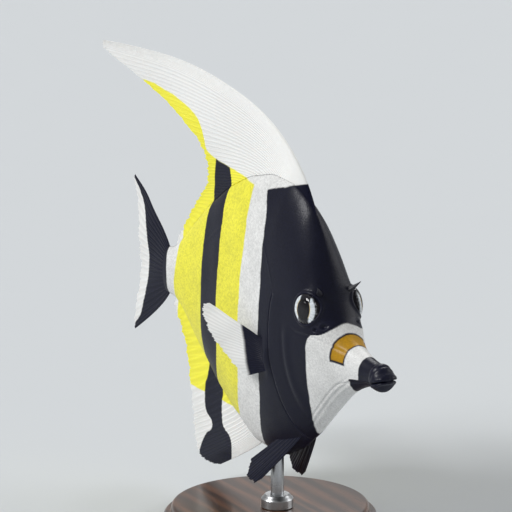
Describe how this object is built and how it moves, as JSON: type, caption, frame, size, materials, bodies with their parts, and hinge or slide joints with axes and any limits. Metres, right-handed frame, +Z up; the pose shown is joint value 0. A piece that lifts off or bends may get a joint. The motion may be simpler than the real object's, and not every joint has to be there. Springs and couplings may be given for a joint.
{
  "type": "moorish idol fish on a display stand",
  "caption": "Life-size reef fish with banded flanks, tubular snout and a long trailing dorsal pennant, held level on a round display base by a short rod.",
  "frame": {"origin": "centre of the stand base's underside", "axes": "+X towards the fish's snout, +Y towards its left side, +Z up"},
  "size_m": [0.2049, 0.074, 0.1506],
  "materials": {
    "scaled_skin": "white, lemon yellow and blue-black bands under small rough scales, satin and slightly wet",
    "lip_skin": "smooth blue-black lip skin, satin",
    "eye": "dark pupil in a silver-white iris under a clear, wet cornea",
    "horn": "dark bony spine, satin",
    "pale_fin": "white rayed membrane, slightly see-through at its edge",
    "yellow_fin": "lemon yellow rayed membrane",
    "dark_fin": "blue-black rayed membrane",
    "stand_wood": "turned walnut, satin lacquer",
    "stand_steel": "brushed stainless steel"
  },
  "bodies": {
    "root": {"head": "scaled_skin", "upper_jaw": "lip_skin", "lower_jaw": "lip_skin", "gill_cover_right": "scaled_skin", "gill_cover_left": "scaled_skin", "torso": "scaled_skin", "tail_stalk": "scaled_skin", "eye_right": "eye", "eye_left": "eye", "horn_right": "horn", "horn_left": "horn", "dorsal_pennant": "pale_fin", "dorsal_fin_middle": "yellow_fin", "dorsal_fin_rear": "yellow_fin", "anal_fin": "pale_fin", "tail_fin": "dark_fin", "pectoral_fin_right": "pale_fin", "pectoral_fin_left": "pale_fin", "pelvic_fin_right": "dark_fin", "pelvic_fin_left": "dark_fin", "stand_base": "stand_wood", "stand_collar": "stand_steel", "stand_rod": "stand_steel"}
  },
  "joints": []
}
